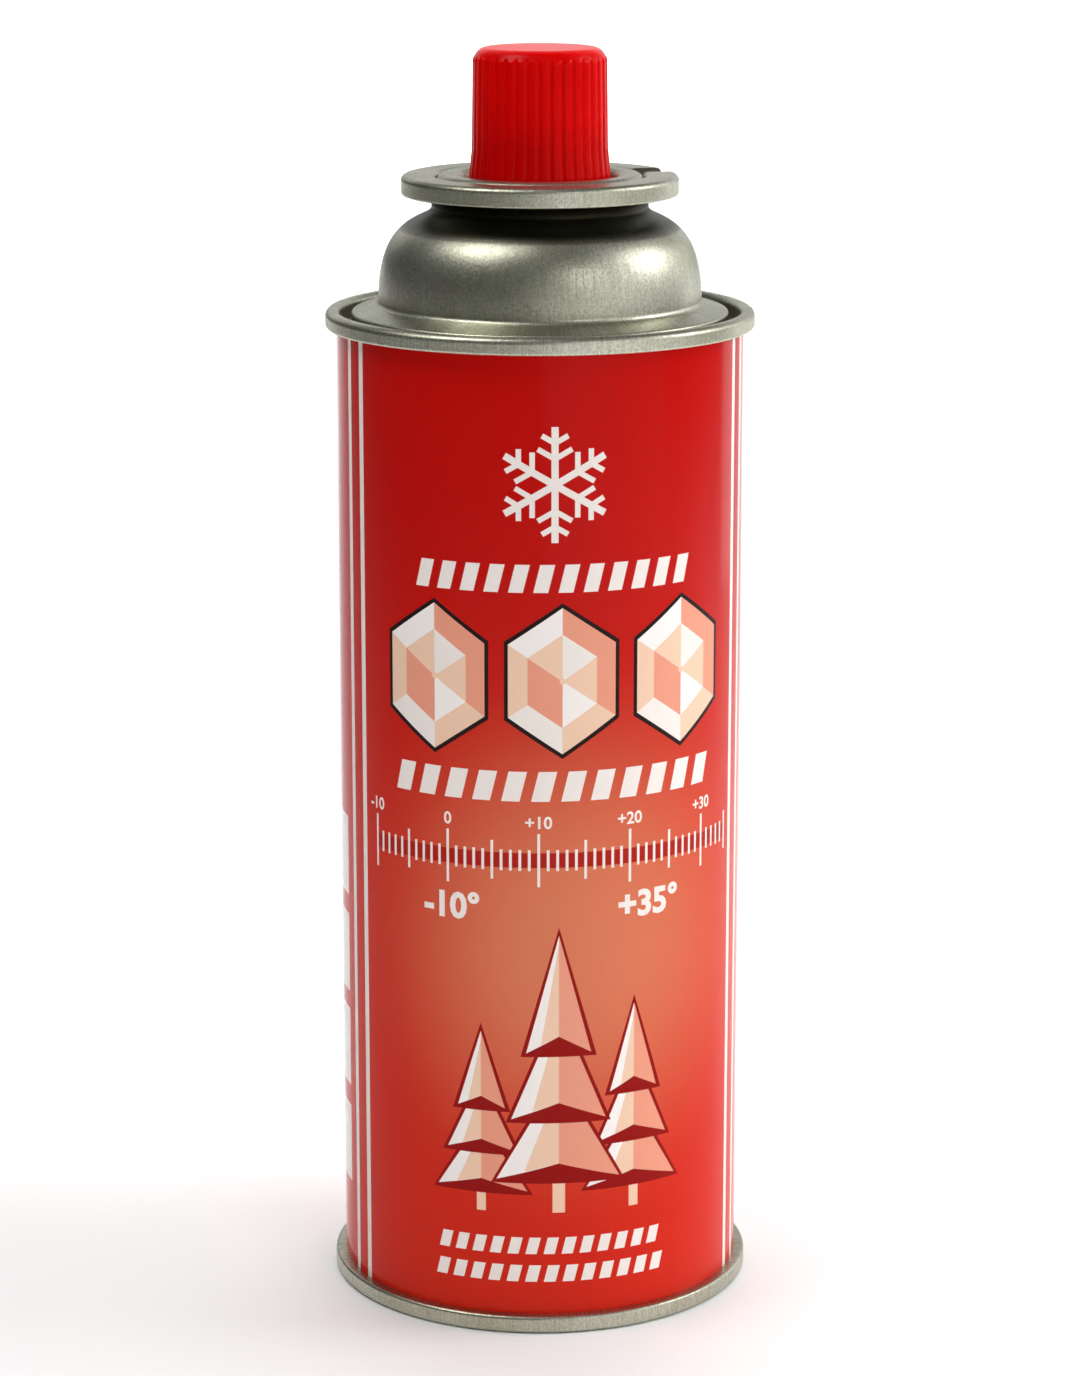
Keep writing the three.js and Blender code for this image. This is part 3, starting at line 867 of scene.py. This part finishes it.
def valve_cup():
    """The pressed cup: bead, recess and turret, one bent sheet turned round the axis."""
    profile, normal = bent_sheet([
        (BEAD_RADIUS, SEAT_LEVEL + COLLAR_SHEET + GAP),
        (BEAD_RADIUS, BEAD_TOP, 1.1),
        (RECESS_RADIUS, BEAD_TOP, 1.3),
        (RECESS_RADIUS - RECESS_TAPER, RECESS_FLOOR, 0.6),
        (TURRET_RADIUS, RECESS_FLOOR, 0.5),
        (TURRET_RADIUS, TURRET_TOP, 0.8),
        (STEM_RADIUS + GAP, TURRET_TOP),
    ], CUP_SHEET)
    piece = turned("pressed_cup", profile, normal, CUP_SEGMENTS, "can", "bare_tinplate", "valve_cup")
    radius, level = profile[:, 0], profile[:, 1]
    # Painted shade: the bead's outer side, down under the collar's inner edge, is darkened.
    shade_behind_bead = eased(BEAD_TOP - level, 0.5, 1.4) * (radius > BEAD_RADIUS - CUP_SHEET - 0.1)
    paint_shade(piece, np.repeat(shade_behind_bead, CUP_SEGMENTS))
    return piece


def valve_stem():
    """The hollow stem with its shoulder and its spigot."""
    shoulder = HOUSING_BORE - GAP
    shoulder_top = GASKET_BOTTOM - GAP
    shoulder_low = shoulder_top - SHOULDER_HEIGHT
    profile, normal = outline([
        (0, shoulder_low - 2),
        (1.3, shoulder_low - 2, 0.2),
        (1.3, shoulder_low, 0.1),
        (shoulder, shoulder_low, 0.15),
        (shoulder, shoulder_top, 0.15),
        (STEM_RADIUS, shoulder_top, 0.1),
        (STEM_RADIUS, STEM_TIP, 0.45),
        (STEM_BORE, STEM_TIP, 0.2),
        (STEM_BORE, STEM_TIP - 5.5, 0.1),
        (0, STEM_TIP - 5.5),
    ])
    return turned("stem", profile, normal, STEM_SEGMENTS, "valve_stem", "valve_plastic", "valve_stem")


def coil_spring():
    """The spring under the stem: a round wire carried along a helix.

    The helix's angle and rise grow evenly together. The wire's section is a circle spanned by the
    direction away from the axis and the direction square to that and to the helix.
    """
    share = np.linspace(0, 1, round(COIL_TURNS * COIL_ROWS_PER_TURN) + 1)
    turn = 2 * math.pi * COIL_TURNS * share
    rise = SPRING_FOOT + WIRE_RADIUS + (SPRING_HEAD - SPRING_FOOT - 2 * WIRE_RADIUS) * share
    line = np.stack([COIL_RADIUS * np.cos(turn), COIL_RADIUS * np.sin(turn), rise], axis=-1)
    outward = np.stack([np.cos(turn), np.sin(turn), np.zeros_like(turn)], axis=-1)
    along = unit(np.gradient(line, axis=0))
    across = unit(np.cross(along, outward))
    around = np.linspace(0, 2 * math.pi, WIRE_COLUMNS, endpoint=False)[:, None]
    section = outward[:, None] * np.cos(around) + across[:, None] * np.sin(around)
    rings = line[:, None] + section * WIRE_RADIUS
    rows, columns = rings.shape[:2]
    ring = np.arange(columns)
    after = (ring + 1) % columns
    low_end, high_end = rows * columns, rows * columns + 1
    last_ring = (rows - 1) * columns
    faces = grid_faces(rows, columns, False, True).tolist()
    faces += np.stack([np.full(columns, low_end), after, ring], axis=-1).tolist()
    far_fan = [np.full(columns, high_end), last_ring + ring, last_ring + after]
    faces += np.stack(far_fan, axis=-1).tolist()
    points = np.concatenate([rings.reshape(-1, 3), line[:1], line[-1:]])
    normals = np.concatenate([section.reshape(-1, 3), -along[:1], along[-1:]])
    spring = make_piece("coil_spring", points, faces, normals, "can", "spring_wire", "valve_spring")
    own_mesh(spring)
    return spring


def cap():
    """The cap: a turned cup with ribs outside, from its foot to just under the rounded top. A dip
    goes from nought on a rib to one between ribs as half of one less the cosine of the rib count
    times the angle. The outside stands out by one less the dip cubed, times the rib's height."""
    profile, normal = outline([
        (0, CAP_TOP - CAP_CROWN),
        (CAP_BORE, CAP_TOP - CAP_CROWN, 1.3),
        (CAP_BORE, CAP_BOTTOM, 0.2),
        (LIP_RADIUS - RIB_HEIGHT, CAP_BOTTOM, 0.3),
        (LIP_RADIUS - RIB_HEIGHT, LIP_TOP - 2.4, SKIRT_ROUND),
        (CAP_RADIUS, LIP_TOP + 1.4, SKIRT_ROUND),
        (CAP_RADIUS - 0.1, (LIP_TOP + CAP_TOP) / 2),
        (CAP_RADIUS - CAP_DRAFT * 0.9, CAP_TOP - 3.4),
        (CAP_RADIUS - CAP_DRAFT * 0.92, CAP_TOP - 2.9),
        (CAP_RADIUS - CAP_DRAFT * 0.94, CAP_TOP - 2.5),
        (CAP_RADIUS - CAP_DRAFT, CAP_TOP, CAP_TOP_ROUND),
        (0, CAP_TOP),
    ], math.radians(6))
    radius, level = profile[:, 0], profile[:, 1]
    fade = eased(CAP_TOP - level, 1.1, 1.9) * eased(level, CAP_BOTTOM + 0.1, CAP_BOTTOM + 0.6)
    height = RIB_HEIGHT * fade * (radius > CAP_BORE + 0.5)
    first = RIB_START - math.pi / 2

    def dip(angle):
        """Half of one less the cosine of the rib count times the angle."""
        return 0.5 - 0.5 * np.cos(RIB_COUNT * (angle - first))

    def swell(angle):
        """One less the dip cubed."""
        return 1 - dip(angle) ** 3

    def swell_slope(angle):
        """How fast the swell grows with the angle."""
        return -1.5 * RIB_COUNT * dip(angle) ** 2 * np.sin(RIB_COUNT * (angle - first))

    return turned("ribbed_cap", profile, normal, RIB_COUNT * RIB_COLUMNS, "cap", "cap_plastic", "cap",
                  wave=(height, swell, swell_slope))


def dress(piece, material):
    """Gives a piece its one material."""
    piece.data.materials.clear()
    piece.data.materials.append(material)


def dress_pieces():
    """Makes each piece of the canister and gives it its material."""
    tinplate = bare_tinplate()
    for piece in (crown(), bottom_end(), collar(), valve_cup()):
        dress(piece, tinplate)
    dress(printed_body(), printed_lacquer())
    dress(cap(), moulded_plastic("cap_red", ink(224, 2, 1), ink(212, 1, 1), 0.2, 0.08))
    pale_plastic = moulded_plastic("valve_plastic", ink(233, 230, 218), ink(222, 218, 205), 0.35, 0.4)
    dress(valve_stem(), pale_plastic)
    dress(coil_spring(), drawn_wire())
    for node, material in (("valve_housing", pale_plastic), ("stem_gasket", seal_rubber())):
        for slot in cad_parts[node].material_slots:
            slot.material = material


def floor():
    """The pale surface that the can stands on."""
    half = FLOOR_HALF
    mesh = bpy.data.meshes.new("floor")
    corners = [(-half, -half, 0), (half, -half, 0), (half, half, 0), (-half, half, 0)]
    mesh.from_pydata(corners, [], [(0, 1, 2, 3)])
    ground = bpy.data.objects.new("floor", mesh)
    bpy.context.scene.collection.objects.link(ground)
    material, tree, shader = new_material("pale_floor", Roughness=0.75)
    shader.inputs["Base Color"].default_value = (0.8, 0.8, 0.8, 1)
    dress(ground, material)


def soft_light(name, place, aim, width, height, radiance,
               shows_in_gloss=True, lights_matt=True, spread=180):
    """A rectangular lamp at a place, in metres, turned towards a point. Its power is its brightness
    times its area times pi, so a larger lamp is as bright to look at. Its beam spreads by the
    spread, in degrees."""
    lamp = bpy.data.lights.new(name, "AREA")
    lamp.spread = math.radians(spread)
    lamp.shape, lamp.size, lamp.size_y = "RECTANGLE", width, height
    lamp.energy = radiance * width * height * math.pi
    holder = bpy.data.objects.new(name, lamp)
    holder.location = place
    holder.rotation_euler = (Vector(aim) - Vector(place)).to_track_quat("-Z", "Y").to_euler()
    holder.visible_camera = False
    holder.visible_glossy = shows_in_gloss
    holder.visible_diffuse = lights_matt
    bpy.context.scene.collection.objects.link(holder)


def studio():
    """Soft lamps for the can and the floor, cards that only the gloss mirrors, and grey walls that
    are darker overhead and to the left, and lighter to the right."""
    crown_middle = (0, 0, 0.17)
    soft_light("front", (0.55, -1.3, 0.33), (0, 0, 0.07), 0.5, 0.3, 5.2, False)
    soft_light("key", (0.47, -0.74, 0.58), crown_middle, 0.2, 0.2, 5.4)
    soft_light("overhead", (-0.38, -0.14, 0.785), crown_middle, 0.32, 0.32, 6.8)
    soft_light("right_back", (0.75, 0.04, 0.55), crown_middle, 0.34, 0.34, 5.9)
    soft_light("floor_front", (0, -0.42, 0.62), (0, -0.42, 0), 0.9, 0.4, 1.1, False, spread=80)
    soft_light("floor_right", (0.5, 0, 0.5), (0.5, 0, 0), 0.4, 0.5, 2.6, False, spread=110)
    soft_light("floor_near", (0, 0.24, 0.42), (0, 0.24, 0), 0.4, 0.3, 4.6, False)
    soft_light("floor_middle", (0, 1.0, 0.6), (0, 1.3, 0), 1.1, 0.8, 4.4, False)
    soft_light("floor_far", (0, 2.4, 1.0), (0, 3.2, 0), 1.8, 1.8, 5, False)
    soft_light("front_card", (0.3, -0.4, 0.15), (0, 0, 0.15), 0.7, 0.34, 0.4, True, False)
    soft_light("right_card", (0.4, 0.34, 0.18), (0, 0, 0.15), 0.16, 0.34, 1.1, True, False)
    soft_light("back_card", (0, 1.6, 0.75), crown_middle, 2.4, 0.9, 0.7, True, False)
    world = bpy.data.worlds.new("studio")
    world.use_nodes = True
    tree = world.node_tree
    way = tree.nodes.new("ShaderNodeTexCoord").outputs["Generated"]
    parts = node_of(tree, "ShaderNodeSeparateXYZ", Vector=way).outputs
    high = ranged(tree, parts["Z"], 0.1, 0.5, 0.0, 1.0, "SMOOTHSTEP")
    shade = blended(tree, high, (0.24, 0.24, 0.24), (0.12, 0.12, 0.12))
    right = ranged(tree, parts["X"], -0.6, 0.1, 0.0, 1.0, "SMOOTHSTEP")
    shade = blended(tree, right, (0.05, 0.05, 0.05), shade)
    far_right = ranged(tree, parts["X"], 0.5, 0.85, 0.0, 1.0, "SMOOTHSTEP")
    shade = blended(tree, far_right, shade, (0.6, 0.6, 0.6))
    tree.links.new(shade, tree.nodes["Background"].inputs["Color"])
    bpy.context.scene.world = world
    bpy.context.scene.view_settings.view_transform = "Standard"


def camera():
    """The photograph's viewpoint: a little above the cap, looking down at the can."""
    lens = bpy.data.cameras.new("camera")
    lens.sensor_fit, lens.sensor_width, lens.lens = "AUTO", 36, CAMERA_LENS
    holder = bpy.data.objects.new("camera", lens)
    holder.location = CAMERA_PLACE
    holder.rotation_euler = (math.radians(90 - CAMERA_DIP), 0, 0)
    bpy.context.scene.collection.objects.link(holder)
    bpy.context.scene.camera = holder


camera()
studio()
floor()
dress_pieces()
